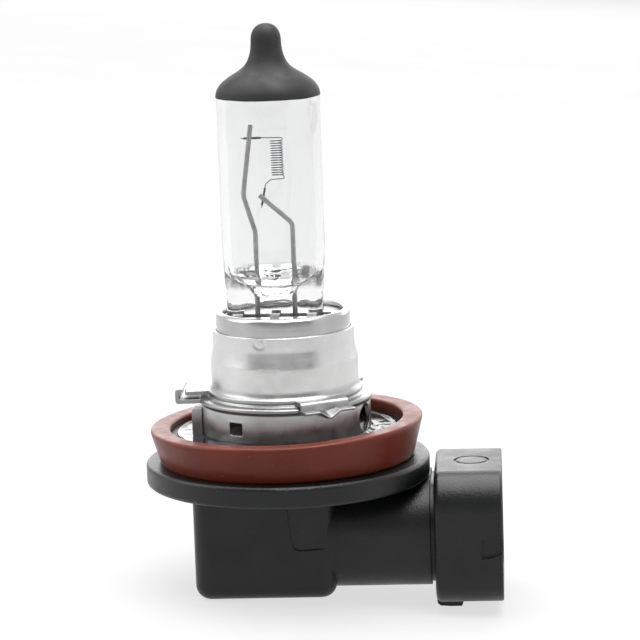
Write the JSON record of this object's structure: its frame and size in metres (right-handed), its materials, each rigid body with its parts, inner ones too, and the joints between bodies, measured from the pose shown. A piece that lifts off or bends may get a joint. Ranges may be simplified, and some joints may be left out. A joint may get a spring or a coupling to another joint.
{
  "type": "headlight bulb",
  "caption": "Right-angle halogen headlight bulb: glass capsule with dark tip, metal twist-lock cap with lugs, red seal ring and a black connector socket.",
  "frame": {"origin": "centre of the reference plane, which is the underside of the locking lugs, on the lamp axis", "axes": "+Z along the lamp axis to the glass tip, +X to the mouth of the connector socket"},
  "size_m": [0.0368, 0.0294, 0.0602],
  "materials": {
    "clear_glass": "clear",
    "cap_paint": "satin",
    "tungsten": "satin",
    "lead_metal": "satin",
    "stainless": "satin",
    "terminal_metal": "satin",
    "insulator": "matte",
    "sealant": "gloss",
    "seal_rubber": "satin",
    "housing_plastic": "satin"
  },
  "bodies": {
    "root": {"glass_envelope": "clear_glass", "blackout_cap": "cap_paint", "filament": "tungsten", "upper_crimp_sleeve": "lead_metal", "lower_crimp_sleeve": "lead_metal", "long_support_lead": "lead_metal", "short_support_lead": "lead_metal", "pinch_clip": "stainless", "burner_ring": "stainless", "focus_sleeve": "stainless", "base_ring": "stainless", "lead_insulator": "insulator", "long_lead_strap": "terminal_metal", "short_lead_strap": "terminal_metal", "long_side_terminal": "terminal_metal", "short_side_terminal": "terminal_metal", "terminal_carrier": "insulator", "sealing_compound": "sealant", "seal_ring": "seal_rubber", "socket_housing": "housing_plastic"}
  },
  "joints": []
}
